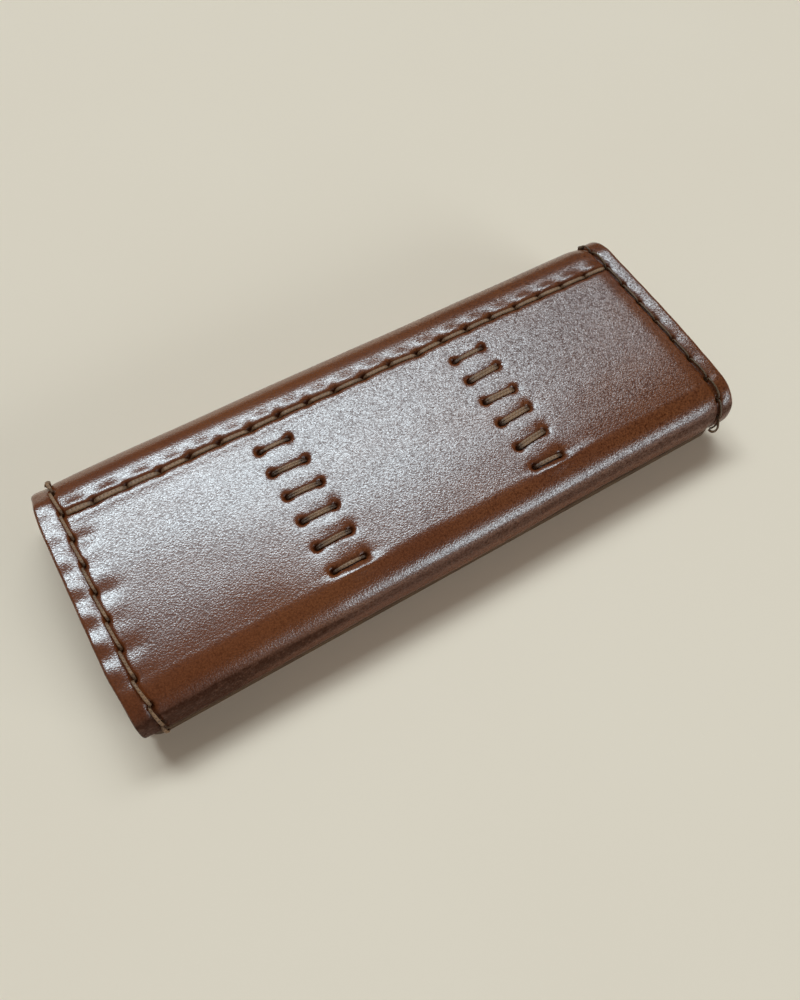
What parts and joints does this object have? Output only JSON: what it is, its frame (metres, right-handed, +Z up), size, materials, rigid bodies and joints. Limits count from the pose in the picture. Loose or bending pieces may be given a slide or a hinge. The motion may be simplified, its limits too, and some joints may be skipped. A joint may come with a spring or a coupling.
{
  "type": "memory card case",
  "caption": "Hand-stitched leather case for memory cards: a divided tray with rounded long edges and a leather-hinged lid, lying on its lid.",
  "frame": {"origin": "centre of the underside in plan, on the plane that the case rests on, which is the lid's outer face", "axes": "+X along the case, +Y from the front edge to the spine that the lid is hinged on, +Z up, from the lid to the tray's floor"},
  "size_m": [0.1106, 0.045, 0.0134],
  "materials": {
    "leather": "glossy pull-up leather with a fine pebble grain, reddish brown",
    "lining_leather": "plain vegetable-tanned leather, matt, tan",
    "thread": "waxed polyester thread, khaki brown, satin",
    "magnet": "nickel-plated, satin"
  },
  "bodies": {
    "tray": {"tray_wrap": "leather", "wrap_hinge": "leather", "inner_back_wall": "lining_leather", "end_cap_left": "lining_leather", "end_cap_right": "lining_leather", "divider_left": "lining_leather", "divider_right": "lining_leather", "front_lining": "lining_leather", "tray_magnets": "magnet", "seam_thread": "thread", "end_thread_left": "thread", "end_thread_right": "thread", "divider_thread_left": "thread", "divider_thread_right": "thread"},
    "lid": {"lid_panel": "leather", "lid_lining": "lining_leather", "lid_magnets": "magnet", "lid_thread": "thread"}
  },
  "joints": [
    {"name": "lid_hinge", "type": "hinge", "parent": "tray", "child": "lid", "pos_m": [0, 0.02003, 0.0021], "axis": [1, 0, 0], "range_deg": [0, 178], "deforming": ["wrap_hinge"]}
  ]
}
